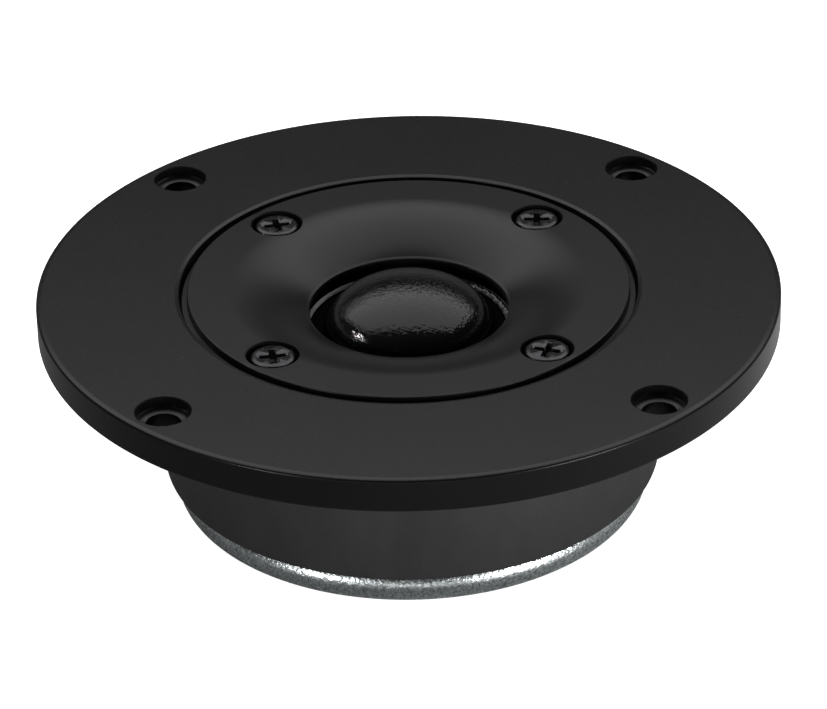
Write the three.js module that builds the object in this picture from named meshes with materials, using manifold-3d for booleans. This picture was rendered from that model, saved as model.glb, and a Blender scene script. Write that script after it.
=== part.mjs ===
// A flange-mounted soft dome tweeter. Millimetres, +Z towards the listener.
// The origin is the centre of the back plate's rear face, so the tweeter stands on its motor.
import * as THREE from "three";
import { mergeVertices } from "three/addons/utils/BufferGeometryUtils.js";
import Module from "manifold-3d";

const wasm = await Module();
wasm.setup();

// ---- driving dimensions ----

const TOP = 31.6; // front face of the flange above the rear of the motor
const FIT_GAP = 0.3; // between pieces turned or cut to fit each other
const GLUE_GAP = 0.05; // between flat faces that are glued or clamped
const CUT_MARGIN = 1; // a cutting tool runs this far past the face it cuts
const BIG_STEPS = 60; // facets round the large rings
const SMALL_STEPS = 40; // facets round the moving parts
const HOLE_STEPS = 16; // facets round screw holes

const FLANGE = { radius: 52, thickness: 4.9, edge: 0.7, rearEdge: 0.3, bore: 32.1, boreEdge: 0.4 };
const HUB = { radius: 34, bore: 22, ledgeTop: 27.4 }; // foot of the flange on the top plate
const FIXING = { circle: 46.75, hole: 2.4, seat: 3.75, seatDepth: 1.6 };

const GROOVE = { inner: 30.95, floor: 30.3, edge: 0.25 };
const WAVEGUIDE = { skirt: 31.8, under: 27.5, hub: 21.7, hubEnd: 26.2, hubBore: 16.6 };
const HORN = { mouth: 25.4, lip: 13.95, lipZ: 27.94, lipUnder: 27.1, lipRound: 0.35 };
const PLATE_SCREW = {
  circle: 26.4,
  hole: 1.85,
  seat: 3.7,
  seatFloor: 29.2,
  head: 3.05,
  headTop: 31.45,
  headRim: 0.9,
  crown: 0.25,
  shank: 1.5,
  tip: 0.4,
  end: 20.8,
  crossLength: 4.2,
  crossWidth: 0.9,
  crossDepth: 1.3,
};
const SCREW_TURNS = [98, 72, 89, 102]; // degrees, where each screw happened to stop

const BACK_PLATE = { radius: 33.7, thickness: 5, round: 2.2, topRound: 2.6, rivetBore: 7.3 };
const MAGNET = { radius: 35.2, bore: 16.5, thickness: 15, edge: 0.6 };
const TOP_PLATE = { radius: 34, bore: 12.3, thickness: 4, edge: 0.3, thread: 1.85 };
const POLE = { radius: 10.55, foot: 1, spigot: 7, inset: 0.2, edge: 0.4 };
const SLEEVE = { inner: 10.65, outer: 10.95, length: 6 };
const FELT = { radius: 8.5, height: 2.2, crown: 0.7 };

const DOME = { radius: 11.35, base: 25.76, height: 5.7, thickness: 0.25, skirt: 0.6, rings: 7 };
const FORMER = { inner: 11.45, wall: 0.15, bottom: 20.7 };
const WINDING = { wall: 0.3, clearance: 0.02, bottom: 20.95, length: 2.5 };
const RING = { inner: 14.8, outer: 21.6, seat: 16.4, thickness: 1.35, seatStep: 0.4 };
const SURROUND = { outer: 16.2, flat: 14.6, crease: 13.56, creaseDrop: 0.36, thickness: 0.15 };
const VALLEY = { radius: 12.7, drop: 0.6, innerLift: 0.3 };
const GASKET = { inner: 16.8, outer: 21.4 };
const PIN = { circle: 19.2, radius: 1, depth: 2, inset: 0.1, hole: 1.3 };

const SLOT = { halfWidth: 12, top: 26.6, start: 20.5, end: 36 }; // terminal exit in the hub
const BLOCK = { halfWidth: 11.4, thickness: 0.9, start: 22.6, end: 38, corner: 1.5 };
const NOTCH = { width: 2, length: 1.6 }; // where a lead passes up through the block
const TAB = { spread: 7, thickness: 0.8, start: 23.4, end: 44, hole: 0.7, holeInset: 3 };
const TAB_POINT = { length: 1.2, inset: 0.7 };
const TAB_WIDTHS = { wide: 4.75, narrow: 2.8 };
const RIVET = { y: 30, radius: 0.8, head: 1.45, crown: 1.15, headHeight: 0.35, inset: 0.1, hole: 1.1 };
const WIRE = { radius: 0.12, low: 24.36, start: 11.9, end: 23.1, rise: 0.7, riseLength: 1 };
const WIRE_SLOT = { width: 1.4, depth: 0.5 }; // under the diaphragm ring

// ---- heights worked out from the stack ----

const magnetBottom = BACK_PLATE.thickness + GLUE_GAP;
const magnetTop = magnetBottom + MAGNET.thickness;
const topPlateBottom = magnetTop + GLUE_GAP;
const topPlateTop = topPlateBottom + TOP_PLATE.thickness;
const ringBottom = topPlateTop + GLUE_GAP;
const ringTop = ringBottom + RING.thickness;
const surroundBottom = ringTop - RING.seatStep + GLUE_GAP;
const surroundTop = surroundBottom + SURROUND.thickness;
const flangeUnder = TOP - FLANGE.thickness;

// ---- colours and finishes ----

function finish(color, roughness, metalness) {
  return { color, roughness, metalness };
}
const FINISHES = {
  blackPlastic: finish(0x1b1c1e, 0.55, 0),
  blackSteel: finish(0x202022, 0.35, 0.6),
  coatedFabric: finish(0x0c0c0d, 0.5, 0),
  zincPlate: finish(0xaeb6b6, 0.35, 0.95),
  bareSteel: finish(0x8d9092, 0.4, 0.95),
  ferrite: finish(0x2e2e30, 0.75, 0),
  copper: finish(0xb4673a, 0.3, 0.95),
  formerFoil: finish(0x9a9da0, 0.35, 0.9),
  felt: finish(0x3a3a3c, 0.95, 0),
  foam: finish(0x17171a, 0.9, 0),
  tinnedBrass: finish(0xc9c6ba, 0.3, 0.95),
};

// ---- helpers ----

function solidFrom(geometry) {
  const bare = geometry.clone();
  bare.deleteAttribute("normal");
  bare.deleteAttribute("uv");
  const merged = mergeVertices(bare, 1e-4);
  return new wasm.Manifold(
    new wasm.Mesh({
      numProp: 3,
      vertProperties: new Float32Array(merged.attributes.position.array),
      triVerts: new Uint32Array(merged.index.array),
    }),
  );
}

function geometryFrom(solid) {
  const mesh = solid.getMesh();
  const geometry = new THREE.BufferGeometry();
  geometry.setAttribute("position", new THREE.BufferAttribute(mesh.vertProperties, 3));
  geometry.setIndex(new THREE.BufferAttribute(mesh.triVerts, 1));
  const faceted = geometry.toNonIndexed();
  faceted.computeVertexNormals();
  return faceted;
}

// Turns a closed outline of [radius, height] corners about the Z axis.
function turned(outline, steps) {
  const points = outline.map(([radius, height]) => new THREE.Vector2(radius, height));
  const isClockwise = THREE.ShapeUtils.area(points) < 0;
  if (isClockwise) points.reverse();
  points.push(points[0].clone());
  return new THREE.LatheGeometry(points, steps).rotateX(Math.PI / 2);
}

function plainRing(inner, outer, bottom, top, steps) {
  const outline = [
    [inner, bottom],
    [outer, bottom],
    [outer, top],
    [inner, top],
  ];
  return turned(outline, steps);
}

// Points of a circular arc in the [radius, height] plane, angles in degrees.
function arc(centreR, centreZ, size, fromAngle, toAngle, steps) {
  const points = [];
  for (let i = 0; i <= steps; i++) {
    const angle = THREE.MathUtils.degToRad(fromAngle + ((toAngle - fromAngle) * i) / steps);
    points.push([centreR + size * Math.cos(angle), centreZ + size * Math.sin(angle)]);
  }
  return points;
}

function post(radius, bottom, top, x, y, steps = HOLE_STEPS) {
  const height = top - bottom;
  return new THREE.CylinderGeometry(radius, radius, height, steps)
    .rotateX(Math.PI / 2)
    .translate(x, y, bottom + height / 2);
}

function block(sizeX, sizeY, bottom, top, x = 0, y = 0) {
  const height = top - bottom;
  return new THREE.BoxGeometry(sizeX, sizeY, height).translate(x, y, bottom + height / 2);
}

function cut(geometry, tools) {
  let solid = solidFrom(geometry);
  for (const tool of tools) solid = solid.subtract(solidFrom(tool));
  return geometryFrom(solid);
}

// Four places at 45 degrees to the axes, going round from front left.
function cornerPlaces(circle) {
  return [225, 315, 45, 135].map((degrees) => {
    const angle = THREE.MathUtils.degToRad(degrees);
    return [circle * Math.cos(angle), circle * Math.sin(angle)];
  });
}

const tweeter = new THREE.Group();
const diaphragm = new THREE.Group();
tweeter.add(diaphragm);

function addPiece(name, geometry, look, parent = tweeter) {
  const mesh = new THREE.Mesh(geometry, new THREE.MeshStandardMaterial(look));
  mesh.name = name;
  parent.add(mesh);
  return mesh;
}

// ---- faceplate ----

function mountingFlange() {
  const body = turned(
    [
      [HUB.bore, ringBottom],
      [HUB.radius, ringBottom],
      [HUB.radius, flangeUnder],
      [FLANGE.radius - FLANGE.rearEdge, flangeUnder],
      [FLANGE.radius, flangeUnder + FLANGE.rearEdge],
      ...arc(FLANGE.radius - FLANGE.edge, TOP - FLANGE.edge, FLANGE.edge, 0, 90, 2),
      [FLANGE.bore + FLANGE.boreEdge, TOP],
      [FLANGE.bore, TOP - FLANGE.boreEdge],
      [FLANGE.bore, HUB.ledgeTop],
      [HUB.bore, HUB.ledgeTop],
    ],
    BIG_STEPS,
  );
  const tools = [];
  for (const [x, y] of cornerPlaces(FIXING.circle)) {
    tools.push(post(FIXING.hole, flangeUnder - CUT_MARGIN, TOP + CUT_MARGIN, x, y));
    tools.push(post(FIXING.seat, TOP - FIXING.seatDepth, TOP + CUT_MARGIN, x, y));
  }
  for (const [x, y] of cornerPlaces(PLATE_SCREW.circle)) {
    tools.push(post(PLATE_SCREW.hole, ringBottom - CUT_MARGIN, TOP, x, y));
  }
  const slotLength = SLOT.end - SLOT.start;
  const slotMiddle = (SLOT.end + SLOT.start) / 2;
  tools.push(
    block(2 * SLOT.halfWidth, slotLength, ringBottom - CUT_MARGIN, SLOT.top, 0, slotMiddle),
  );
  return cut(body, tools);
}

// The horn is one circular arc, level with the face at its mouth and steepest at its lip.
function hornArc() {
  const across = HORN.mouth - HORN.lip - HORN.lipRound;
  const drop = TOP - HORN.lipZ;
  const size = (across * across + drop * drop) / (2 * drop);
  const sweep = THREE.MathUtils.radToDeg(Math.asin(across / size));
  return arc(HORN.mouth, TOP - size, size, 90, 90 + sweep, 7);
}

function waveguidePlate() {
  const body = turned(
    [
      [WAVEGUIDE.skirt, WAVEGUIDE.under],
      [WAVEGUIDE.skirt, GROOVE.floor],
      [GROOVE.inner, GROOVE.floor],
      [GROOVE.inner, TOP - GROOVE.edge],
      [GROOVE.inner - GROOVE.edge, TOP],
      ...hornArc(),
      [HORN.lip, HORN.lipZ - HORN.lipRound],
      [HORN.lip, HORN.lipUnder],
      [WAVEGUIDE.hubBore, HORN.lipUnder],
      [WAVEGUIDE.hubBore, WAVEGUIDE.hubEnd],
      [WAVEGUIDE.hub, WAVEGUIDE.hubEnd],
      [WAVEGUIDE.hub, WAVEGUIDE.under],
    ],
    BIG_STEPS,
  );
  const tools = [];
  for (const [x, y] of cornerPlaces(PLATE_SCREW.circle)) {
    tools.push(post(PLATE_SCREW.hole, WAVEGUIDE.under - CUT_MARGIN, TOP, x, y));
    tools.push(post(PLATE_SCREW.seat, PLATE_SCREW.seatFloor, TOP + CUT_MARGIN, x, y));
  }
  return cut(body, tools);
}

// A pan-head screw with a plain shank for the threads and a cross recess in its head.
function plateScrew(turnDegrees) {
  const headBottom = PLATE_SCREW.seatFloor + GLUE_GAP;
  const shoulder = PLATE_SCREW.headTop - PLATE_SCREW.headRim;
  const body = new THREE.LatheGeometry(
    [
      new THREE.Vector2(0, PLATE_SCREW.end),
      new THREE.Vector2(PLATE_SCREW.shank - PLATE_SCREW.tip, PLATE_SCREW.end),
      new THREE.Vector2(PLATE_SCREW.shank, PLATE_SCREW.end + PLATE_SCREW.tip),
      new THREE.Vector2(PLATE_SCREW.shank, headBottom),
      new THREE.Vector2(PLATE_SCREW.head, headBottom),
      new THREE.Vector2(PLATE_SCREW.head, shoulder),
      new THREE.Vector2(PLATE_SCREW.head * 0.85, PLATE_SCREW.headTop - PLATE_SCREW.crown),
      new THREE.Vector2(PLATE_SCREW.head * 0.5, PLATE_SCREW.headTop),
      new THREE.Vector2(0, PLATE_SCREW.headTop),
    ],
    HOLE_STEPS,
  ).rotateX(Math.PI / 2);
  const recessBottom = PLATE_SCREW.headTop - PLATE_SCREW.crossDepth;
  const recessTop = PLATE_SCREW.headTop + CUT_MARGIN;
  const arms = [0, 90].map((armDegrees) =>
    block(PLATE_SCREW.crossLength, PLATE_SCREW.crossWidth, recessBottom, recessTop).rotateZ(
      THREE.MathUtils.degToRad(armDegrees + turnDegrees),
    ),
  );
  return cut(body, arms);
}

addPiece("mounting_flange", mountingFlange(), FINISHES.blackPlastic);
addPiece("waveguide_plate", waveguidePlate(), FINISHES.blackPlastic);
cornerPlaces(PLATE_SCREW.circle).forEach(([x, y], i) => {
  const screw = addPiece(`plate_screw_${i + 1}`, plateScrew(SCREW_TURNS[i]), FINISHES.blackSteel);
  screw.position.set(x, y, 0);
});

// ---- motor ----

function backPlate() {
  const { radius, thickness, round, topRound, rivetBore } = BACK_PLATE;
  return turned(
    [
      [rivetBore, 0],
      ...arc(radius - round, round, round, -90, 0, 5),
      ...arc(radius - topRound, thickness - topRound, topRound, 0, 90, 4),
      [rivetBore, thickness],
    ],
    BIG_STEPS,
  );
}

function magnetRing() {
  const { radius, bore, edge } = MAGNET;
  return turned(
    [
      [bore, magnetBottom],
      [radius - edge, magnetBottom],
      [radius, magnetBottom + edge],
      [radius, magnetTop - edge],
      [radius - edge, magnetTop],
      [bore, magnetTop],
    ],
    BIG_STEPS,
  );
}

function topPlate() {
  const { radius, bore, edge, thread } = TOP_PLATE;
  const body = turned(
    [
      [bore, topPlateBottom],
      [radius - edge, topPlateBottom],
      [radius, topPlateBottom + edge],
      [radius, topPlateTop - edge],
      [radius - edge, topPlateTop],
      [bore, topPlateTop],
    ],
    BIG_STEPS,
  );
  const above = topPlateTop + CUT_MARGIN;
  const tools = cornerPlaces(PLATE_SCREW.circle).map(([x, y]) =>
    post(thread, topPlateBottom - CUT_MARGIN, above, x, y),
  );
  for (const side of [-1, 1]) {
    tools.push(post(PIN.hole, topPlateTop - PIN.depth - FIT_GAP, above, side * PIN.circle, 0));
  }
  return cut(body, tools);
}

// A turned post with a spigot that is riveted over in the back plate's bore.
function polePiece() {
  const { radius, foot, spigot, inset, edge } = POLE;
  const shoulder = BACK_PLATE.thickness + GLUE_GAP;
  return new THREE.LatheGeometry(
    [
      new THREE.Vector2(0, inset),
      new THREE.Vector2(spigot, inset),
      new THREE.Vector2(spigot, shoulder),
      new THREE.Vector2(radius + foot, shoulder),
      new THREE.Vector2(radius, shoulder + foot),
      new THREE.Vector2(radius, topPlateTop - edge),
      new THREE.Vector2(radius - edge, topPlateTop),
      new THREE.Vector2(0, topPlateTop),
    ],
    SMALL_STEPS,
  ).rotateX(Math.PI / 2);
}

// A felt pad with a low crown, glued to the top of the pole.
function dampingFelt() {
  const bottom = topPlateTop + GLUE_GAP;
  const top = bottom + FELT.height;
  return new THREE.LatheGeometry(
    [
      new THREE.Vector2(0, bottom),
      new THREE.Vector2(FELT.radius, bottom),
      new THREE.Vector2(FELT.radius, top - FELT.crown),
      new THREE.Vector2(FELT.radius * 0.7, top - FELT.crown * 0.3),
      new THREE.Vector2(0, top),
    ],
    SMALL_STEPS,
  ).rotateX(Math.PI / 2);
}

addPiece("back_plate", backPlate(), FINISHES.zincPlate);
addPiece("magnet_ring", magnetRing(), FINISHES.ferrite);
addPiece("top_plate", topPlate(), FINISHES.bareSteel);
addPiece("pole_piece", polePiece(), FINISHES.bareSteel);
addPiece(
  "copper_sleeve",
  plainRing(SLEEVE.inner, SLEEVE.outer, topPlateTop - SLEEVE.length, topPlateTop, SMALL_STEPS),
  FINISHES.copper,
);
addPiece("damping_felt", dampingFelt(), FINISHES.felt);

// ---- diaphragm mounting ----

function diaphragmRing() {
  const seatZ = ringTop - RING.seatStep;
  const body = turned(
    [
      [RING.inner, ringBottom],
      [RING.outer, ringBottom],
      [RING.outer, ringTop],
      [RING.seat, ringTop],
      [RING.seat, seatZ],
      [RING.inner, seatZ],
    ],
    BIG_STEPS,
  );
  const tools = [];
  for (const side of [-1, 1]) {
    tools.push(post(PIN.hole, ringBottom - CUT_MARGIN, ringTop + CUT_MARGIN, side * PIN.circle, 0));
    const length = RING.outer - RING.inner + 2 * CUT_MARGIN;
    const slotTop = ringBottom + WIRE_SLOT.depth;
    const wireSlot = block(length, WIRE_SLOT.width, ringBottom - CUT_MARGIN, slotTop);
    wireSlot.translate((RING.outer + RING.inner) / 2, 0, 0).rotateZ(wireAngle(side));
    tools.push(wireSlot);
  }
  return cut(body, tools);
}

// A gasket that the waveguide plate presses on the diaphragm ring.
function clampGasket() {
  const bottom = ringTop + GLUE_GAP;
  const top = WAVEGUIDE.hubEnd - GLUE_GAP;
  return plainRing(GASKET.inner, GASKET.outer, bottom, top, BIG_STEPS);
}

addPiece("diaphragm_ring", diaphragmRing(), FINISHES.blackPlastic);
addPiece("clamp_gasket", clampGasket(), FINISHES.foam);
for (const [side, name] of [
  [-1, "left"],
  [1, "right"],
]) {
  const bottom = topPlateTop - PIN.depth;
  const pin = post(PIN.radius, bottom, ringTop - PIN.inset, side * PIN.circle, 0);
  addPiece(`locating_pin_${name}`, pin, FINISHES.bareSteel);
}

// ---- moving diaphragm ----

// A thin half-ellipsoid shell with a short straight skirt at its foot.
function domeDiaphragm() {
  const { radius, base, height, thickness, skirt, rings } = DOME;
  const outside = [];
  const inside = [];
  for (let i = 0; i <= rings; i++) {
    const angle = ((Math.PI / 2) * i) / rings;
    const out = Math.cos(angle);
    const up = Math.sin(angle);
    outside.push(new THREE.Vector2(radius * out, base + height * up));
    const inner = new THREE.Vector2((radius - thickness) * out, base + (height - thickness) * up);
    inside.push(inner);
  }
  outside[rings].x = 0;
  inside[rings].x = 0;
  return new THREE.LatheGeometry(
    [
      ...inside.reverse(),
      new THREE.Vector2(radius - thickness, base - skirt),
      new THREE.Vector2(radius, base - skirt),
      ...outside,
    ],
    SMALL_STEPS,
  ).rotateX(Math.PI / 2);
}

// A fabric roll: a glued flat, a crease, a valley and a short rise to the dome's foot.
function surroundRoll() {
  const clear = FORMER.inner + FORMER.wall + GLUE_GAP;
  const top = [
    [SURROUND.outer, surroundTop],
    [SURROUND.flat, surroundTop],
    [SURROUND.crease, surroundTop - SURROUND.creaseDrop],
    [VALLEY.radius, surroundTop - VALLEY.drop],
    [clear, surroundTop - VALLEY.innerLift],
  ];
  const under = top.map(([radius, height]) => [radius, height - SURROUND.thickness]).reverse();
  return turned([...top, ...under], SMALL_STEPS);
}

addPiece("dome_diaphragm", domeDiaphragm(), FINISHES.coatedFabric, diaphragm);
const formerOuter = FORMER.inner + FORMER.wall;
addPiece(
  "voice_coil_former",
  plainRing(FORMER.inner, formerOuter, FORMER.bottom, DOME.base, SMALL_STEPS),
  FINISHES.formerFoil,
  diaphragm,
);
const windingInner = formerOuter + WINDING.clearance;
addPiece(
  "voice_coil_winding",
  plainRing(
    windingInner,
    windingInner + WINDING.wall,
    WINDING.bottom,
    WINDING.bottom + WINDING.length,
    SMALL_STEPS,
  ),
  FINISHES.copper,
  diaphragm,
);
addPiece("surround", surroundRoll(), FINISHES.coatedFabric);

// ---- terminals ----

const blockBottom = ringBottom;
const blockTop = blockBottom + BLOCK.thickness;
const tabBottom = blockTop + GLUE_GAP;
const tabTop = tabBottom + TAB.thickness;

// The direction in which a lead runs out to the tab on its side.
function wireAngle(side) {
  return Math.atan2(Math.sqrt(WIRE.end ** 2 - TAB.spread ** 2), side * TAB.spread);
}

function terminalBlock() {
  const { halfWidth, start, end, corner } = BLOCK;
  const outline = new THREE.Shape();
  outline.moveTo(-halfWidth, start);
  outline.lineTo(halfWidth, start);
  outline.lineTo(halfWidth, end - corner);
  outline.absarc(halfWidth - corner, end - corner, corner, 0, Math.PI / 2);
  outline.absarc(corner - halfWidth, end - corner, corner, Math.PI / 2, Math.PI);
  outline.closePath();
  const plate = new THREE.ExtrudeGeometry(outline, {
    depth: BLOCK.thickness,
    bevelEnabled: false,
    curveSegments: 4,
  }).translate(0, 0, blockBottom);
  const tools = [];
  for (const side of [-1, 1]) {
    const x = side * TAB.spread;
    const low = blockBottom - CUT_MARGIN;
    const high = blockTop + CUT_MARGIN;
    tools.push(post(RIVET.hole, low, high, x, RIVET.y));
    tools.push(block(NOTCH.width, NOTCH.length, low, high, x, start));
  }
  return cut(plate, tools);
}

// A flat push-on tab with a pointed tip, a rivet hole and a detent hole.
function terminalTab(width, x) {
  const half = width / 2;
  const tip = half - TAB_POINT.inset;
  const shoulder = TAB.end - TAB_POINT.length;
  const outline = new THREE.Shape([
    new THREE.Vector2(-half, TAB.start),
    new THREE.Vector2(half, TAB.start),
    new THREE.Vector2(half, shoulder),
    new THREE.Vector2(tip, TAB.end),
    new THREE.Vector2(-tip, TAB.end),
    new THREE.Vector2(-half, shoulder),
  ]);
  const strip = new THREE.ExtrudeGeometry(outline, { depth: TAB.thickness, bevelEnabled: false });
  strip.translate(x, 0, tabBottom);
  const low = tabBottom - CUT_MARGIN;
  const high = tabTop + CUT_MARGIN;
  return cut(strip, [
    post(RIVET.hole, low, high, x, RIVET.y),
    post(TAB.hole, low, high, x, TAB.end - TAB.holeInset, HOLE_STEPS / 2),
  ]);
}

function terminalRivet(x) {
  const low = blockBottom + RIVET.inset;
  const high = tabTop + GLUE_GAP;
  return new THREE.LatheGeometry(
    [
      new THREE.Vector2(0, low),
      new THREE.Vector2(RIVET.radius, low),
      new THREE.Vector2(RIVET.radius, high),
      new THREE.Vector2(RIVET.head, high),
      new THREE.Vector2(RIVET.crown, high + RIVET.headHeight),
      new THREE.Vector2(0, high + RIVET.headHeight),
    ],
    HOLE_STEPS / 2,
  )
    .rotateX(Math.PI / 2)
    .translate(x, RIVET.y, 0);
}

// A lead leaves the coil low over the top plate and rises to the inner end of its tab.
function leadWire(side) {
  const angle = wireAngle(side);
  const place = (radius, z) =>
    new THREE.Vector3(radius * Math.cos(angle), radius * Math.sin(angle), z);
  const route = new THREE.CatmullRomCurve3([
    place(WIRE.start, WIRE.low),
    place((WIRE.start + WIRE.end) / 2, WIRE.low),
    place(WIRE.end - WIRE.riseLength, WIRE.low),
    place(WIRE.end, WIRE.low + WIRE.rise),
  ]);
  const section = new THREE.Shape().absarc(0, 0, WIRE.radius, 0, 2 * Math.PI);
  return new THREE.ExtrudeGeometry(section, { extrudePath: route, steps: 16, curveSegments: 4 });
}

addPiece("terminal_block", terminalBlock(), FINISHES.blackPlastic);
for (const [side, widthName, sideName] of [
  [-1, "wide", "left"],
  [1, "narrow", "right"],
]) {
  const x = side * TAB.spread;
  const tab = terminalTab(TAB_WIDTHS[widthName], x);
  addPiece(`terminal_tab_${widthName}`, tab, FINISHES.tinnedBrass);
  addPiece(`terminal_rivet_${widthName}`, terminalRivet(x), FINISHES.tinnedBrass);
  addPiece(`lead_wire_${sideName}`, leadWire(side), FINISHES.copper);
}

export default tweeter;
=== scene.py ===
# A flange-mounted soft dome tweeter that stands on its motor, on a pale floor in studio light.
# Outlines are in millimetres, as (radius, height) in the frame of the part.

import math

import bpy
from mathutils import Euler, Matrix, Vector
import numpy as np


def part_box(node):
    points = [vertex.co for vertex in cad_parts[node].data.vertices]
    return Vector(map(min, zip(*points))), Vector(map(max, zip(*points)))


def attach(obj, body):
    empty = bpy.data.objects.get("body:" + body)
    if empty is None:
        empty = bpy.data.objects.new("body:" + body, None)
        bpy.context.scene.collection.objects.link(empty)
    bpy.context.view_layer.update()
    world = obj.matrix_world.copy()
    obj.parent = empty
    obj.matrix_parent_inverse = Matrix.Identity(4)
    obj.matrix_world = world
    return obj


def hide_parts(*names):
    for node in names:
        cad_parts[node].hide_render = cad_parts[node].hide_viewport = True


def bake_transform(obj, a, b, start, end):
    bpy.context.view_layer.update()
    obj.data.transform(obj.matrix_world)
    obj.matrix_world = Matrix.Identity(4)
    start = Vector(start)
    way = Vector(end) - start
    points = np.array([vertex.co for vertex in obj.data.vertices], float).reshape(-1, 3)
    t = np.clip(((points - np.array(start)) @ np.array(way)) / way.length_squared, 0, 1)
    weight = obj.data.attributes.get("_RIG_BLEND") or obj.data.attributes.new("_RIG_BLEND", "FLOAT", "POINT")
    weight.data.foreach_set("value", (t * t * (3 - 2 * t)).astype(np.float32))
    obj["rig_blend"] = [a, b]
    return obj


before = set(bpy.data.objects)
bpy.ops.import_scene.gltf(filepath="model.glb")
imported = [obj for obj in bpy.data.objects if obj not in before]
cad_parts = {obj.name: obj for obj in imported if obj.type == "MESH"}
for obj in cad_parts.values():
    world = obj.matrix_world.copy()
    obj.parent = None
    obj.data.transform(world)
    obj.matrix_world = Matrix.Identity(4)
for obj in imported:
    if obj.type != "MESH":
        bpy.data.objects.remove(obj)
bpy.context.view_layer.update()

MM = 0.001
FRAME_BODY = "motor_frame"
MOVING_BODY = "diaphragm"
BIG_STEPS = 288
SMALL_STEPS = 192
HOLE_STEPS = 64
PIN_STEPS = 32
PUNCH_STEPS = 24
ARC_STEPS = 6
SHARP_ANGLE = 40  # degrees between two faces, above which their edge is drawn sharp


def box_mm(node):
    low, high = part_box(node)
    return low / MM, high / MM


flange_low, flange_high = box_mm("mounting_flange")
plate_low, plate_high = box_mm("waveguide_plate")
back_low, back_high = box_mm("back_plate")
magnet_low, magnet_high = box_mm("magnet_ring")
top_plate_low, top_plate_high = box_mm("top_plate")
ring_low, ring_high = box_mm("diaphragm_ring")
dome_low, dome_high = box_mm("dome_diaphragm")
surround_low, surround_high = box_mm("surround")

TOP = flange_high.z


# ---- camera ----

LENS = 185.4  # millimetres on a 36 mm sensor
CAMERA_DISTANCE = 595.4
CAMERA_HEIGHT_ANGLE = 29.31
CAMERA_AIM = Vector((0.5, 0, TOP - 11.46))
CAMERA_ROLL = -1.318


def add_camera():
    angle = math.radians(CAMERA_HEIGHT_ANGLE)
    face_centre = Vector((0, 0, TOP))
    place = face_centre + CAMERA_DISTANCE * Vector((0, -math.cos(angle), math.sin(angle)))
    camera = bpy.data.objects.new("camera", bpy.data.cameras.new("camera"))
    camera.data.lens = LENS
    camera.data.clip_start = 0.01
    bpy.context.scene.collection.objects.link(camera)
    turn = (CAMERA_AIM - place).to_track_quat("-Z", "Y").to_matrix().to_4x4()
    roll = Matrix.Rotation(math.radians(CAMERA_ROLL), 4, "Z")
    camera.matrix_world = Matrix.Translation(place * MM) @ turn @ roll
    bpy.context.scene.camera = camera


# ---- mesh helpers ----


def mesh_object(name, vertices, faces, material):
    mesh = bpy.data.meshes.new(name)
    mesh.from_pydata([Vector(v) * MM for v in vertices], [], faces)
    mesh.update()
    mesh.shade_smooth()
    mesh.set_sharp_from_angle(angle=math.radians(SHARP_ANGLE))
    mesh.materials.append(material)
    piece = bpy.data.objects.new(name, mesh)
    bpy.context.scene.collection.objects.link(piece)
    return piece


def rounded(corners, steps=ARC_STEPS):
    """A closed outline whose (radius, height, rounding) corners are rounded with arcs."""
    outline = []
    for i, corner in enumerate(corners):
        here = Vector(corner[:2])
        rounding = corner[2] if len(corner) > 2 else 0
        if not rounding:
            outline.append(tuple(here))
            continue
        to_before = (Vector(corners[i - 1][:2]) - here).normalized()
        to_after = (Vector(corners[(i + 1) % len(corners)][:2]) - here).normalized()
        half_angle = to_before.angle(to_after) / 2
        centre = here + (to_before + to_after).normalized() * rounding / math.sin(half_angle)
        setback = rounding / math.tan(half_angle)
        start = here + to_before * setback - centre
        end = here + to_after * setback - centre
        for k in range(steps + 1):
            spoke = start.lerp(end, k / steps).normalized()
            outline.append(tuple(centre + spoke * rounding))
    return outline


def arc(centre_r, centre_z, size, start_angle, end_angle, steps):
    points = []
    for i in range(steps + 1):
        angle = math.radians(start_angle + (end_angle - start_angle) * i / steps)
        points.append((centre_r + size * math.cos(angle), centre_z + size * math.sin(angle)))
    return points


def outline_area(outline):
    area = 0
    for (r0, z0), (r1, z1) in zip(outline, outline[1:] + outline[:1]):
        area += (r0 * z1 - r1 * z0) / 2
    return area


def turned(name, outline, steps, material, centre=(0, 0)):
    """Turns a closed outline about a vertical axis. Points on the axis become one vertex each."""
    if outline_area(outline) < 0:
        outline = outline[::-1]
    vertices = []
    rows = []
    for radius, height in outline:
        if math.isclose(radius, 0, abs_tol=1e-6):
            rows.append([len(vertices)] * steps)
            vertices.append((centre[0], centre[1], height))
            continue
        rows.append(range(len(vertices), len(vertices) + steps))
        for i in range(steps):
            angle = 2 * math.pi * i / steps
            x = centre[0] + radius * math.cos(angle)
            y = centre[1] + radius * math.sin(angle)
            vertices.append((x, y, height))
    faces = []
    for row, after in zip(rows, rows[1:] + rows[:1]):
        for i in range(steps):
            j = (i + 1) % steps
            corners = [row[i], row[j], after[j], after[i]]
            face = list(dict.fromkeys(corners))
            if len(face) > 2:
                faces.append(face)
    return mesh_object(name, vertices, faces, material)


def prism(name, outline, bottom, top, material, edge=0.0):
    """A flat piece with the given (x, y) outline, whose sharp edges are bevelled when an edge width is
    given.
    """
    count = len(outline)
    vertices = [(x, y, bottom) for x, y in outline] + [(x, y, top) for x, y in outline]
    faces = [list(range(count))[::-1], list(range(count, 2 * count))]
    for i in range(count):
        j = (i + 1) % count
        faces.append([i, j, count + j, count + i])
    piece = mesh_object(name, vertices, faces, material)
    if edge:
        add_bevel(piece, edge)
    return piece


def add_bevel(piece, width):
    bevel = piece.modifiers.new("edges", "BEVEL")
    bevel.width = width * MM
    bevel.segments = 3
    bevel.limit_method = "ANGLE"
    bevel.angle_limit = math.radians(SHARP_ANGLE)
    apply_modifiers(piece)


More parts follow.
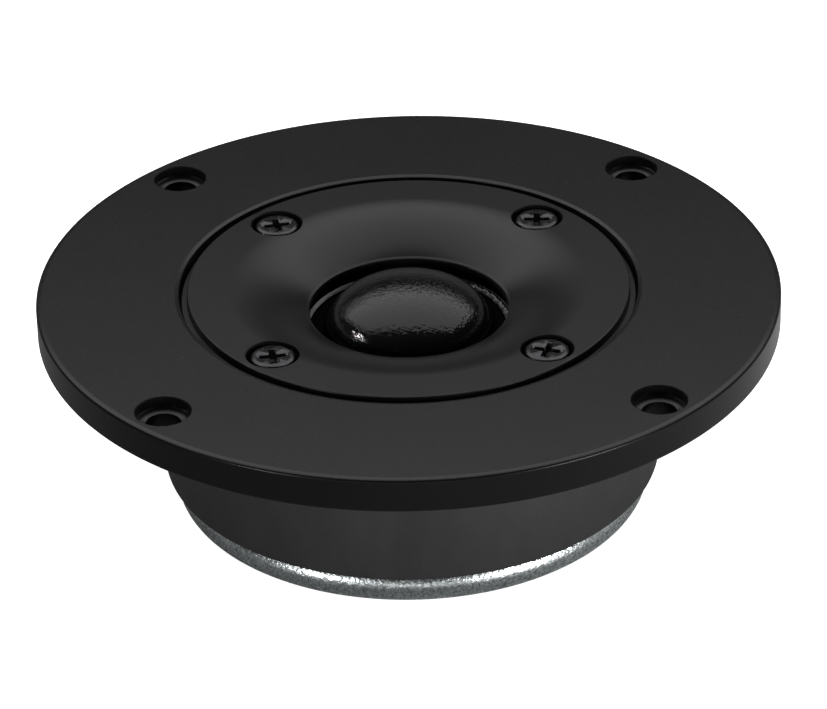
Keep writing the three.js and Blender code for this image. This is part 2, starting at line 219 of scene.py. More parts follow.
def apply_modifiers(piece):
    graph = bpy.context.evaluated_depsgraph_get()
    mesh = bpy.data.meshes.new_from_object(piece.evaluated_get(graph))
    piece.modifiers.clear()
    piece.data = mesh


def cut(piece, cutters):
    for cutter in cutters:
        hole = piece.modifiers.new("cut", "BOOLEAN")
        hole.operation = "DIFFERENCE"
        hole.solver = "EXACT"
        hole.object = cutter
    apply_modifiers(piece)
    for cutter in cutters:
        bpy.data.objects.remove(cutter)
    piece.data.set_sharp_from_angle(angle=math.radians(SHARP_ANGLE))
    weigh_normals(piece)
    return piece


def weigh_normals(piece):
    """Keeps broad flat faces flat in the shading, right up to their rounded edges."""
    weighted = piece.modifiers.new("flat faces", "WEIGHTED_NORMAL")
    weighted.keep_sharp = True
    weighted.weight = 100


def corner_places(circle):
    """Four places at 45 degrees to the axes, going round from front left."""
    places = []
    for degrees in (225, 315, 45, 135):
        angle = math.radians(degrees)
        places.append((circle * math.cos(angle), circle * math.sin(angle)))
    return places


def place_piece(piece, node, body=FRAME_BODY):
    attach(piece, body)
    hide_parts(node)


# ---- material helpers ----


class Paint:
    """A Principled material with short calls for the textures that drive it."""

    def __init__(self, name, color, roughness, metallic=0.0, specular=0.5):
        self.material = bpy.data.materials.new(name)
        self.material.use_nodes = True
        self.tree = self.material.node_tree
        self.shader = self.tree.nodes["Principled BSDF"]
        self.shader.inputs["Base Color"].default_value = (*color, 1)
        self.shader.inputs["Roughness"].default_value = roughness
        self.shader.inputs["Metallic"].default_value = metallic
        self.shader.inputs["Specular IOR Level"].default_value = specular
        self.place = self.tree.nodes.new("ShaderNodeTexCoord").outputs["Object"]
        self.relief = None

    def node(self, kind, **settings):
        made = self.tree.nodes.new(kind)
        for key, value in settings.items():
            setattr(made, key, value)
        return made

    def link(self, output, socket):
        self.tree.links.new(output, socket)

    def stretched(self, scale):
        mapping = self.node("ShaderNodeMapping")
        mapping.inputs["Scale"].default_value = scale
        self.link(self.place, mapping.inputs["Vector"])
        return mapping.outputs["Vector"]

    def noise(self, size_mm, detail=4, roughness=0.5, stretch=(1, 1, 1)):
        """Noise with features of about size_mm."""
        texture = self.node("ShaderNodeTexNoise")
        texture.inputs["Scale"].default_value = 1 / (size_mm * MM)
        texture.inputs["Detail"].default_value = detail
        texture.inputs["Roughness"].default_value = roughness
        self.link(self.stretched(stretch), texture.inputs["Vector"])
        return texture.outputs["Fac"]

    def thread(self, pitch_mm, axis):
        """Ridges that run across one axis, one for each thread."""
        wave = self.node("ShaderNodeTexWave", wave_type="BANDS", bands_direction=axis)
        bands_for_each_unit = 10 / math.pi
        wave.inputs["Scale"].default_value = 1 / (pitch_mm * MM) / bands_for_each_unit
        wave.inputs["Distortion"].default_value = 0.6
        wave.inputs["Detail"].default_value = 1
        wave.inputs["Detail Scale"].default_value = 2
        self.link(self.place, wave.inputs["Vector"])
        return wave.outputs["Fac"]

    def distance_mm(self, axis):
        """Distance along one axis in the frame of the part, in millimetres."""
        axes = self.node("ShaderNodeSeparateXYZ")
        self.link(self.place, axes.inputs[0])
        return self.math("DIVIDE", axes.outputs[axis], MM)

    def math(self, operation, a, b):
        made = self.node("ShaderNodeMath", operation=operation)
        for socket, value in zip(made.inputs, (a, b)):
            if isinstance(value, (int, float)):
                socket.default_value = value
            else:
                self.link(value, socket)
        return made.outputs[0]

    def ranged(self, value, low, high, from_low=0.3, from_high=0.7):
        made = self.node("ShaderNodeMapRange")
        self.link(value, made.inputs["Value"])
        made.inputs["From Min"].default_value = from_low
        made.inputs["From Max"].default_value = from_high
        made.inputs["To Min"].default_value = low
        made.inputs["To Max"].default_value = high
        return made.outputs["Result"]

    def colors(self, value, stops):
        ramp = self.node("ShaderNodeValToRGB")
        while len(ramp.color_ramp.elements) < len(stops):
            ramp.color_ramp.elements.new(0.5)
        for element, (position, color) in zip(ramp.color_ramp.elements, stops):
            element.position = position
            element.color = (*color, 1)
        self.link(value, ramp.inputs["Fac"])
        self.link(ramp.outputs["Color"], self.shader.inputs["Base Color"])

    def rough(self, value, low, high):
        self.link(self.ranged(value, low, high), self.shader.inputs["Roughness"])

    def bump(self, height, depth_mm):
        """Adds relief depth_mm deep on top of the relief that is there."""
        made = self.node("ShaderNodeBump")
        made.inputs["Strength"].default_value = 1
        made.inputs["Distance"].default_value = depth_mm * MM
        self.link(height, made.inputs["Height"])
        if self.relief:
            self.link(self.relief, made.inputs["Normal"])
        self.relief = made.outputs["Normal"]
        self.link(self.relief, self.shader.inputs["Normal"])


# ---- materials ----


def moulded_plastic(name, smoothest, roughest):
    """Black glass-filled plastic from a finely etched mould."""
    paint = Paint(name, (0.004, 0.004, 0.0042), roughest, specular=0.16)
    cloud = paint.noise(14, detail=3)
    paint.colors(cloud, [(0.3, (0.0035, 0.0035, 0.0037)), (0.7, (0.0047, 0.0047, 0.0049))])
    paint.rough(paint.noise(0.5, detail=5), smoothest, roughest)
    paint.bump(paint.noise(0.16, detail=3, roughness=0.6), 0.002)
    return paint.material


def black_oxide_steel():
    paint = Paint("black_oxide_steel", (0.03, 0.03, 0.032), 0.25, metallic=0.9)
    wear = paint.noise(0.9, detail=4)
    paint.colors(wear, [(0.35, (0.024, 0.024, 0.026)), (0.7, (0.038, 0.038, 0.04))])
    paint.rough(paint.noise(0.4, detail=3), 0.2, 0.3)
    paint.bump(paint.noise(0.3, detail=2), 0.003)
    return paint.material


def add_weave(paint, pitch, depth, grain):
    """The relief of the cloth under its coat: both threads, then an uneven grain."""
    weave = paint.math("MULTIPLY", paint.thread(pitch, "X"), paint.thread(pitch, "Y"))
    paint.bump(weave, depth)
    paint.bump(paint.noise(pitch, detail=0), grain)


def coated_silk():
    """Black silk cloth under a tacky damping coat: the weave shows only as a fine grain."""
    paint = Paint("coated_silk", (0.003, 0.003, 0.0032), 0.12, specular=0.19)
    paint.rough(paint.noise(0.3, detail=2), 0.1, 0.15)
    add_weave(paint, pitch=0.33, depth=0.005, grain=0.044)
    return paint.material


def coated_edge():
    """The same cloth on the surround's raised edge, where the coat is thick."""
    paint = Paint("coated_edge", (0.003, 0.003, 0.0032), 0.24, specular=0.42)
    paint.rough(paint.noise(0.3, detail=2), 0.2, 0.3)
    add_weave(paint, pitch=0.3, depth=0.012, grain=0.02)
    return paint.material


def matt_cloth_painted_shade():
    """The surround's valley and glued rim: matt cloth painted darker than the coated cloth and almost
    without reflection, as painted shade where the valley and the rim under the lip lie in shade.
    """
    # painted shade: this copy of the cloth is darker and almost without reflection, so the valley and rim
    # read as shaded
    paint = Paint("matt_cloth_painted_shade", (0.0008, 0.0008, 0.0009), 0.5, specular=0.005)
    paint.rough(paint.noise(0.4, detail=2), 0.42, 0.6)
    add_weave(paint, pitch=0.3, depth=0.02, grain=0.03)
    return paint.material


def damping_compound():
    paint = Paint("damping_compound", (0.004, 0.004, 0.0042), 0.25, specular=0.4)
    paint.rough(paint.noise(0.3, detail=3), 0.2, 0.36)
    paint.bump(paint.noise(0.45, detail=1), 0.07)
    return paint.material


def ferrite():
    paint = Paint("ferrite", (0.025, 0.025, 0.026), 0.55, specular=0.4)
    streaks = paint.noise(4, detail=6, roughness=0.6, stretch=(1, 1, 0.4))
    paint.colors(streaks, [(0.35, (0.023, 0.023, 0.0235)), (0.7, (0.03, 0.03, 0.0305))])
    paint.rough(paint.noise(0.4, detail=5), 0.5, 0.65)
    paint.bump(paint.noise(0.3, detail=5, roughness=0.65), 0.01)
    return paint.material


def zinc_plating():
    """Electroplated steel: bright and dull specks all over, and pits near its top edge."""
    paint = Paint("zinc_plating", (0.7, 0.76, 0.77), 0.35, metallic=1.0)
    specks = paint.noise(0.42, detail=4, roughness=0.75)
    paint.colors(specks, [(0.38, (0.36, 0.4, 0.405)), (0.62, (0.94, 0.98, 0.99))])
    paint.rough(paint.noise(0.35, detail=4, roughness=0.7), 0.22, 0.36)
    pits = paint.noise(0.45, detail=2)
    upper_part = paint.ranged(paint.distance_mm("Z"), 0.2, 1, 2.0, 3.4)
    paint.bump(paint.math("MULTIPLY", pits, upper_part), 0.09)
    paint.bump(paint.noise(1.6, detail=2), 0.05)
    return paint.material


def turned_steel():
    paint = Paint("turned_steel", (0.48, 0.49, 0.5), 0.35, metallic=1.0)
    paint.rough(paint.noise(0.5, detail=5, stretch=(1, 1, 6)), 0.28, 0.5)
    paint.bump(paint.noise(0.4, detail=3, stretch=(1, 1, 8)), 0.006)
    return paint.material


def copper():
    paint = Paint("copper", (0.72, 0.3, 0.15), 0.3, metallic=1.0)
    stain = paint.noise(1.2, detail=4)
    paint.colors(stain, [(0.35, (0.6, 0.22, 0.1)), (0.7, (0.8, 0.38, 0.2))])
    paint.rough(paint.noise(0.5, detail=4), 0.22, 0.4)
    return paint.material


def former_foil():
    paint = Paint("former_foil", (0.62, 0.63, 0.64), 0.3, metallic=1.0)
    paint.rough(paint.noise(0.6, detail=4, stretch=(1, 1, 5)), 0.25, 0.42)
    paint.bump(paint.noise(0.5, detail=2), 0.004)
    return paint.material


def felt():
    paint = Paint("felt", (0.04, 0.04, 0.042), 0.95, specular=0.1)
    fibres = paint.noise(0.35, detail=8, roughness=0.8)
    paint.colors(fibres, [(0.35, (0.02, 0.02, 0.021)), (0.7, (0.07, 0.07, 0.072))])
    paint.bump(fibres, 0.25)
    return paint.material


def foam():
    paint = Paint("foam", (0.012, 0.012, 0.013), 0.9, specular=0.15)
    cells = paint.node("ShaderNodeTexVoronoi")
    cells.inputs["Scale"].default_value = 1 / (0.35 * MM)
    paint.link(paint.place, cells.inputs["Vector"])
    paint.rough(paint.noise(0.8), 0.82, 0.98)
    paint.bump(cells.outputs["Distance"], 0.12)
    return paint.material


def tinned_brass():
    paint = Paint("tinned_brass", (0.68, 0.66, 0.6), 0.3, metallic=1.0)
    tarnish = paint.noise(1.5, detail=5)
    paint.colors(tarnish, [(0.35, (0.56, 0.53, 0.46)), (0.65, (0.74, 0.72, 0.67))])
    paint.rough(paint.noise(0.4, detail=4, stretch=(4, 0.6, 1)), 0.22, 0.42)
    paint.bump(paint.noise(0.3, detail=3, stretch=(5, 0.5, 1)), 0.004)
    return paint.material


PLASTIC = moulded_plastic("flange_plastic", 0.272, 0.288)
DISC_PLASTIC = moulded_plastic("disc_plastic", 0.296, 0.312)
BLACK_STEEL = black_oxide_steel()
SILK = coated_silk()
COATED_EDGE = coated_edge()
MATT_CLOTH_PAINTED_SHADE = matt_cloth_painted_shade()
COMPOUND = damping_compound()
FERRITE = ferrite()
ZINC = zinc_plating()
STEEL = turned_steel()
COPPER = copper()
FOIL = former_foil()
FELT = felt()
FOAM = foam()
BRASS = tinned_brass()

# ---- faceplate ----

FLANGE_THICKNESS = 4.9
HUB_RADIUS = 34  # the foot of the flange, which sits on the top plate
HUB_BORE = 22
SEAM = 0.3  # clearance between the waveguide plate's skirt and the flange
GROOVE_EDGE = 30.95  # inner side of the groove round the waveguide plate
GROOVE_DEPTH = 1.3
HORN_MOUTH = 25.4
LIP_RADIUS = 13.95
LIP_ROUND = 0.35
LIP_TOP = 27.94
LIP_UNDER = 27.1
PLATE_UNDER = 27.5  # underside of the waveguide plate outside its spigot
SPIGOT_BORE = 16.6
SPIGOT_RADIUS = 21.7
FIXING_CIRCLE = 46.75
FIXING_BORE = 2.4
FIXING_SEAT = 3.75
FIXING_FLOOR = TOP - 1.6
PLATE_SCREW_CIRCLE = 26.4
SCREW_BORE = 1.85
SCREW_SEAT = 3.65
SCREW_FLOOR = 29.2
SCREW_TURNS = (98, 72, 89, 102)  # degrees, where each screw happened to stop
RIM_CHAMFER = 0.12


def counterbore_cutter(centre, bore, seat, floor, chamfer_width, chamfer_depth):
    """A bore under a flat seat for a screw head, with a chamfer between the two."""
    corner = 0.15
    below, above = flange_low.z - 5, TOP + 3
    outline = [
        (0, below),
        (bore, below),
        (bore, floor - chamfer_depth),
        (bore + chamfer_width, floor),
        (seat - corner, floor),
        (seat, floor + corner),
        (seat, TOP - RIM_CHAMFER),
        (seat + RIM_CHAMFER, TOP),
        (seat + RIM_CHAMFER, above),
        (0, above),
    ]
    return turned("counterbore", outline, HOLE_STEPS, PLASTIC, centre)


def fixing_hole_cutters():
    chamfer_width, chamfer_depth = 0.5, 0.2
    sizes = (FIXING_BORE, FIXING_SEAT, FIXING_FLOOR, chamfer_width, chamfer_depth)
    return [counterbore_cutter(place, *sizes) for place in corner_places(FIXING_CIRCLE)]


def plate_screw_hole_cutters():
    chamfer = 0.1
    sizes = (SCREW_BORE, SCREW_SEAT, SCREW_FLOOR, chamfer, chamfer)
    return [counterbore_cutter(place, *sizes) for place in corner_places(PLATE_SCREW_CIRCLE)]


def terminal_slot_cutter():
    half_width, start, end, top = 12, 20.5, 36, 26.6
    outline = [(-half_width, start), (half_width, start), (half_width, end), (-half_width, end)]
    return prism("terminal_slot", outline, flange_low.z - 1, top, PLASTIC)


def mounting_flange():
    radius = flange_high.x
    under = TOP - FLANGE_THICKNESS
    bore = plate_high.x + SEAM
    bore_chamfer = 0.17
    ledge = plate_low.z + 1.2
    outline = rounded(
        [
            (HUB_BORE, flange_low.z),
            (HUB_RADIUS, flange_low.z, 0.3),
            (HUB_RADIUS, under, 0.4),
            (radius, under, 0.5),
            (radius, TOP - RIM_CHAMFER, 0.45),
            (radius - 0.75, TOP, 1.5),
            (bore + 0.55, TOP, 0.5),
            (bore, TOP - bore_chamfer, 0.1),
            (bore, ledge),
            (HUB_BORE, ledge),
        ]
    )
    flange = turned("mounting_flange_shell", outline, BIG_STEPS, PLASTIC)
    return cut(flange, fixing_hole_cutters() + plate_screw_hole_cutters() + [terminal_slot_cutter()])


def horn_arc():
    """From the level mouth of the horn down to its lip, as one arc."""
    across = HORN_MOUTH - LIP_RADIUS - LIP_ROUND
    drop = TOP - LIP_TOP
    size = (across**2 + drop**2) / (2 * drop)
    sweep = math.degrees(math.asin(across / size))
    return arc(HORN_MOUTH, TOP - size, size, 90, 90 + sweep, 48)


def waveguide_plate():
    skirt = plate_high.x
    groove_floor = TOP - GROOVE_DEPTH
    horn = horn_arc()
    outline = rounded(
        [
            (skirt, PLATE_UNDER),
            (skirt, groove_floor, 0.1),
            (GROOVE_EDGE, groove_floor, 0.1),
            (GROOVE_EDGE, TOP, 0.18),
            horn[0],
        ]
    )
    outline += horn[1:]
    outline += arc(LIP_RADIUS + LIP_ROUND, 27.6, LIP_ROUND, 126, 180, 6)
    outline += [(LIP_RADIUS, LIP_UNDER), (SPIGOT_BORE, LIP_UNDER), (SPIGOT_BORE, plate_low.z)]
    outline += [(SPIGOT_RADIUS, plate_low.z), (SPIGOT_RADIUS, PLATE_UNDER)]
    plate = turned("waveguide_plate_shell", outline, BIG_STEPS, DISC_PLASTIC)
    return cut(plate, plate_screw_hole_cutters())


def tapered_bar(name, top_size, low_size, low, top, degrees, centre):
    """One arm of a cross recess: a bar that narrows downwards. Sizes are (length, width)."""
    vertices = []
    for (length, width), height in ((low_size, low), (top_size, top)):
        for sx, sy in ((-1, -1), (1, -1), (1, 1), (-1, 1)):
            spot = Vector((sx * length / 2, sy * width / 2, 0))
            spot.rotate(Euler((0, 0, math.radians(degrees))))
            vertices.append((spot.x + centre[0], spot.y + centre[1], height))
    faces = [
        (3, 2, 1, 0),
        (4, 5, 6, 7),
        (0, 1, 5, 4),
        (1, 2, 6, 5),
        (2, 3, 7, 6),
        (3, 0, 4, 7),
    ]
    return mesh_object(name, vertices, faces, BLACK_STEEL)


def cross_recess(top, degrees, centre):
    """Cutters for a cross recess whose edges were rolled in by the punch."""
    cutters = []
    for arm in (degrees, degrees + 90):
        cutters += [
            tapered_bar("rolled_edge", (4.8, 1.9), (4.3, 0.8), top - 0.18, top + 0.04, arm, centre),
            tapered_bar("arm", (4.2, 1.0), (2.2, 0.6), top - 1.3, top + 0.2, arm, centre),
        ]
    middle = [(0, top - 2), (0.4, top - 1.5), (0.85, top + 0.3), (0, top + 0.3)]
    cutters.append(turned("middle", middle, PUNCH_STEPS, BLACK_STEEL, centre))
    return cutters


def plate_screw(number, degrees, centre):
    node = f"plate_screw_{number}"
    low, high = box_mm(node)
    head, shank, tip = 3.05, 1.5, 0.4
    head_low = SCREW_FLOOR + 0.05
    corners = [
        (0, low.z),
        (shank - tip, low.z),
        (shank, low.z + tip),
        (shank, head_low),
        (head, head_low, 0.1),
        (head, high.z - 0.3, 0.25),
        (head - 0.3, high.z - 0.06, 0.6),
        (0.6, high.z),
        (0, high.z),
    ]
    screw = turned(node + "_body", rounded(corners), HOLE_STEPS, BLACK_STEEL, centre)
    cut(screw, cross_recess(high.z, degrees, centre))
    place_piece(screw, node)


place_piece(mounting_flange(), "mounting_flange")
place_piece(waveguide_plate(), "waveguide_plate")
for index, place in enumerate(corner_places(PLATE_SCREW_CIRCLE)):
    plate_screw(index + 1, SCREW_TURNS[index], place)

# ---- motor ----

RIVET_BORE = 7.3
RIVET_RADIUS = 7
MAGNET_BORE = 16.5
GAP_OUTER = 12.3
POLE_RADIUS = 10.55
SLEEVE_INNER = 10.65
SLEEVE_OUTER = 10.95
FELT_RADIUS = 8.5


def back_plate():
    lower_round, upper_round = 2.2, 2.6
    outline = rounded(
        [
            (RIVET_BORE, 0, 0.2),
            (back_high.x, 0, lower_round),
            (back_high.x, back_high.z, upper_round),
            (RIVET_BORE, back_high.z),
        ],
        steps=12,
    )
    return turned("back_plate_body", outline, BIG_STEPS, ZINC)


def magnet_ring():
    edge = 0.5
    outline = rounded(
        [
            (MAGNET_BORE, magnet_low.z),
            (magnet_high.x, magnet_low.z, edge),
            (magnet_high.x, magnet_high.z, edge),
            (MAGNET_BORE, magnet_high.z),
        ]
    )
    return turned("magnet_ring_body", outline, BIG_STEPS, FERRITE)


def top_plate():
    bore_edge, edge = 0.2, 0.3
    outline = rounded(
        [
            (GAP_OUTER, top_plate_low.z, bore_edge),
            (top_plate_high.x, top_plate_low.z, edge),
            (top_plate_high.x, top_plate_high.z, edge),
            (GAP_OUTER, top_plate_high.z, bore_edge),
        ]
    )
    return turned("top_plate_body", outline, BIG_STEPS, ZINC)


def pole_piece():
    """A post with a riveted foot in the back plate and a flare where it stands on it."""
    inset, flare, edge = 0.2, 1, 0.4
    seat = back_high.z + 0.05
    outline = [
        (0, inset),
        (RIVET_RADIUS - 0.2, inset),
        (RIVET_RADIUS, inset + 0.2),
        (RIVET_RADIUS, seat),
        (POLE_RADIUS + flare, seat),
        (POLE_RADIUS, seat + flare),
        (POLE_RADIUS, top_plate_high.z - edge),
        (POLE_RADIUS - edge, top_plate_high.z),
        (0, top_plate_high.z),
    ]
    return turned("pole_piece_body", outline, SMALL_STEPS, STEEL)


def tube(low, high, inner, outer):
    return [(inner, low.z), (outer, low.z), (outer, high.z), (inner, high.z)]


def copper_sleeve():
    outline = tube(*box_mm("copper_sleeve"), SLEEVE_INNER, SLEEVE_OUTER)
    return turned("copper_sleeve_body", outline, SMALL_STEPS, COPPER)


def damping_felt():
    low, high = box_mm("damping_felt")
    outline = [(0, low.z), (FELT_RADIUS, low.z), (FELT_RADIUS, high.z - 0.7)]
    outline += [(FELT_RADIUS - 0.3, high.z - 0.4), (6, high.z - 0.15), (0, high.z)]
    return turned("damping_felt_pad", outline, SMALL_STEPS, FELT)


place_piece(back_plate(), "back_plate")
place_piece(magnet_ring(), "magnet_ring")
place_piece(top_plate(), "top_plate")
place_piece(pole_piece(), "pole_piece")
place_piece(copper_sleeve(), "copper_sleeve")
place_piece(damping_felt(), "damping_felt")

# ---- diaphragm and its mounting ----

DOME_HEIGHT = 5.7
DOME_BASE = dome_high.z - DOME_HEIGHT
CLOTH_THICKNESS = 0.25
CUFF_RADIUS = 11.76  # the surround's turned-down inner end, over the former's rim
COATED_FROM, COATED_TO = 14.2, 14.72  # radii between which the surround's edge is glossy
RING_BORE = 14.8
RING_SEAT = 16.4
GASKET_INNER = 16.8
GASKET_OUTER = 21.4
FORMER_INNER = 11.45
FORMER_OUTER = 11.6
WINDING_OUTER = 11.92
WINDING_TURNS = 14


def dome_diaphragm():
    radius = dome_high.x
    inner_radius, inner_height = radius - CLOTH_THICKNESS, DOME_HEIGHT - CLOTH_THICKNESS
    rings = 72
    outside = []
    inside = []
    for i in range(rings + 1):
        angle = math.pi / 2 * i / rings
        across = 0 if i == rings else math.cos(angle)
        outside.append((radius * across, DOME_BASE + DOME_HEIGHT * math.sin(angle)))
        inside.append((inner_radius * across, DOME_BASE + inner_height * math.sin(angle)))
    outline = [(inner_radius, dome_low.z), (radius, dome_low.z)] + outside + inside[::-1]
    return turned("dome_cloth", outline, SMALL_STEPS, SILK)


def surround_roll():
    """Glued flat, two stepped edges, valley, and the cuff that covers the former's rim."""
    top = surround_high.z
    cuff = CUFF_RADIUS
    upper = [(surround_high.x, top), (14.9, top)]
    upper += arc(14.62, top - 0.16, 0.16, 85, 130, 5)
    upper += [(14.1, top - 0.4), (13.85, top - 0.44)]
    upper += arc(13.6, top - 0.54, 0.1, 80, 130, 4)
    upper += [(13.2, top - 0.68), (12.8, top - 0.73), (12.4, top - 0.73), (12.0, top - 0.62)]
    upper += [(11.85, top - 0.45), (cuff, top - 0.2)]
    upper += arc(cuff - 0.2, DOME_BASE - 0.02, 0.2, 0, 90, 6)
    upper.append((11.3, DOME_BASE + 0.2))
    under = [(11.3, DOME_BASE + 0.02), (cuff - 0.14, DOME_BASE + 0.02), (cuff - 0.14, top - 0.35)]
    under += [(12.0, top - 0.82), (12.9, top - 0.88), (13.5, top - 0.75), (14.2, top - 0.55)]
    under.append((surround_high.x, top - 0.15))
    # the whole surround starts with the cloth painted dark as painted shade; only faces between COATED_FROM
    # and COATED_TO get the glossy coated edge
    cloth = turned("surround_cloth", upper + under, SMALL_STEPS, MATT_CLOTH_PAINTED_SHADE)
    cloth.data.materials.append(COATED_EDGE)
    for face in cloth.data.polygons:
        radius = math.hypot(face.center.x, face.center.y) / MM
        if COATED_FROM < radius < COATED_TO:
            face.material_index = 1
    return cloth


def lofted_faces(stations, sides):
    """Faces between equal rings of vertices, one ring for each station, with both ends closed."""
    last = (stations - 1) * sides
    faces = [list(range(sides)), [last + k for k in range(sides)][::-1]]
    for start in range(0, last, sides):
        for k in range(sides):
            j = (k + 1) % sides
            faces.append([start + k, start + sides + k, start + sides + j, start + j])
    return faces


def glue_bead():
    """An uneven fillet of damping compound on the surround's edge, along one side."""
    start, end = math.radians(5), math.radians(78)
    stations = 161
    section = [(14.56, 0.0), (14.4, 0.1), (14.15, 0.24), (13.9, 0.18), (13.66, 0.0), (14.1, -0.12)]
    edge, foot = surround_high.z - 0.05, surround_high.z - 0.44
    foot_radius, slope_length = 13.7, 0.85
    vertices = []
    for i in range(stations):
        share = i / (stations - 1)
        angle = start + (end - start) * share
        fullness = math.sin(math.pi * share) ** 0.5
        lumps = 1 + 0.14 * math.sin(57 * share) + 0.1 * math.sin(131 * share + 1)
        for radius, rise in section:
            slope = min(max((radius - foot_radius) / slope_length, 0), 1)
            height = foot + (edge - foot) * slope + rise * fullness * lumps
            vertices.append((radius * math.cos(angle), radius * math.sin(angle), height))
    bead = mesh_object("surround_glue_bead", vertices, lofted_faces(stations, len(section)), COMPOUND)
    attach(bead, FRAME_BODY)


def blend_outwards(piece, inner, outer):
    """Lets a round piece follow the diaphragm at its inner edge and the motor at its outer edge."""
    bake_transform(piece, FRAME_BODY, MOVING_BODY, start=(0, 0, 0.02), end=(0, 0, 0.03))
    weights = piece.data.attributes["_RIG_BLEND"].data
    for vertex, weight in zip(piece.data.vertices, weights):
        radius = math.hypot(vertex.co.x, vertex.co.y) / MM
        share = min(max((outer - radius) / (outer - inner), 0), 1)
        weight.value = share * share * (3 - 2 * share)


def diaphragm_ring():
    seat = ring_high.z - 0.4
    outline = [
        (RING_BORE, ring_low.z),
        (ring_high.x, ring_low.z),
        (ring_high.x, ring_high.z),
        (RING_SEAT, ring_high.z),
        (RING_SEAT, seat),
        (RING_BORE, seat),
    ]
    return turned("diaphragm_ring_body", outline, SMALL_STEPS, PLASTIC)


def clamp_gasket():
    edge = 0.15
    corners = tube(*box_mm("clamp_gasket"), GASKET_INNER, GASKET_OUTER)
    outline = rounded([(*corner, edge) for corner in corners])
    return turned("clamp_gasket_ring", outline, SMALL_STEPS, FOAM)


def locating_pin(side):
    low, high = box_mm(f"locating_pin_{side}")
    middle = (low + high) / 2
    radius, low_edge, high_edge = 1, 0.2, 0.25
    outline = [
        (0, low.z),
        (radius - low_edge, low.z),
        (radius, low.z + low_edge),
        (radius, high.z - high_edge),
        (radius - high_edge, high.z),
        (0, high.z),
    ]
    return turned(f"locating_pin_{side}_body", outline, PIN_STEPS, STEEL, (middle.x, middle.y))


def voice_coil_former():
    outline = tube(*box_mm("voice_coil_former"), FORMER_INNER, FORMER_OUTER)
    return turned("voice_coil_former_tube", outline, SMALL_STEPS, FOIL)


def voice_coil_winding():
    """Turns of round wire side by side on the former."""
    low, high = box_mm("voice_coil_winding")
    inner = FORMER_OUTER + 0.02
    pitch = (high.z - low.z) / WINDING_TURNS
    outline = [(inner, high.z), (inner, low.z)]
    for turn in range(WINDING_TURNS):
        middle = low.z + pitch * (turn + 0.5)
        outline += arc(WINDING_OUTER - pitch / 2, middle, pitch / 2, -70, 70, 4)
    return turned("voice_coil_winding_wire", outline, SMALL_STEPS, COPPER)


glue_bead()
surround = surround_roll()
blend_outwards(surround, inner=11.7, outer=14.0)
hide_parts("surround")
place_piece(dome_diaphragm(), "dome_diaphragm", MOVING_BODY)
place_piece(voice_coil_former(), "voice_coil_former", MOVING_BODY)
place_piece(voice_coil_winding(), "voice_coil_winding", MOVING_BODY)
place_piece(diaphragm_ring(), "diaphragm_ring")
place_piece(clamp_gasket(), "clamp_gasket")
for side in ("left", "right"):
    place_piece(locating_pin(side), f"locating_pin_{side}")

# ---- terminals ----

TERMINAL_EDGE = 0.12
WIRE_RADIUS = 0.12
WIRE_START = 11.9  # where a lead leaves the former, from the axis
WIRE_STATIONS = 41
WIRE_SIDES = 12


def terminal_block():
    low, high = box_mm("terminal_block")
    corner = 1.5
    outline = [(low.x, low.y), (high.x, low.y)]
    outline += arc(high.x - corner, high.y - corner, corner, 0, 90, 8)
    outline += arc(low.x + corner, high.y - corner, corner, 90, 180, 8)
    return prism("terminal_block_shelf", outline, low.z, high.z, PLASTIC, edge=TERMINAL_EDGE)


def terminal_tab(width_name):
    low, high = box_mm(f"terminal_tab_{width_name}")
    point_length, point_inset = 1.2, 0.7
    detent, detent_inset = 0.7, 3
    outline = [
        (low.x, low.y),
        (high.x, low.y),
        (high.x, high.y - point_length),
        (high.x - point_inset, high.y),
        (low.x + point_inset, high.y),
        (low.x, high.y - point_length),
    ]
    name = f"terminal_tab_{width_name}_strip"
    tab = prism(name, outline, low.z, high.z, BRASS, edge=TERMINAL_EDGE)
    middle = (low.x + high.x) / 2
    hole = [(0, low.z - 1), (detent, low.z - 1), (detent, high.z + 1), (0, high.z + 1)]
    return cut(tab, [turned("detent", hole, PUNCH_STEPS, BRASS, (middle, high.y - detent_inset))])


def terminal_rivet(width_name):
    low, high = box_mm(f"terminal_rivet_{width_name}")
    middle = (low + high) / 2
    shank, head, head_height = 0.8, 1.45, 0.35
    under_head = high.z - head_height
    outline = [(0, low.z), (shank, low.z), (shank, under_head), (head, under_head)]
    outline += [(1.4, high.z - 0.2), (1.15, high.z - 0.07), (0.7, high.z), (0, high.z)]
    name = f"terminal_rivet_{width_name}_head"
    return turned(name, outline, PIN_STEPS, BRASS, (middle.x, middle.y))


def lead_wire(side):
    """A fine lead from the coil that rises at its outer end to meet its tab."""
    low, high = box_mm(f"lead_wire_{side}")
    sign = -1 if side == "left" else 1
    far_x = max(abs(low.x), abs(high.x))
    angle = math.atan2(high.y, sign * far_x)
    reach = math.hypot(far_x, high.y) - WIRE_RADIUS
    floor = low.z + WIRE_RADIUS
    rise = (high.z - floor) * 0.85
    rise_length = 1
    vertices = []
    for i in range(WIRE_STATIONS):
        distance = WIRE_START + (reach - WIRE_START) * i / (WIRE_STATIONS - 1)
        lift = max(0.0, (distance - (reach - rise_length)) / rise_length)
        height = floor + rise * lift * lift * (3 - 2 * lift)
        for k in range(WIRE_SIDES):
            turn = -2 * math.pi * k / WIRE_SIDES
            sideways = WIRE_RADIUS * math.cos(turn)
            x = distance * math.cos(angle) - sideways * math.sin(angle)
            y = distance * math.sin(angle) + sideways * math.cos(angle)
            vertices.append((x, y, height + WIRE_RADIUS * math.sin(turn)))
    faces = lofted_faces(WIRE_STATIONS, WIRE_SIDES)
    return mesh_object(f"lead_wire_{side}_strand", vertices, faces, COPPER)


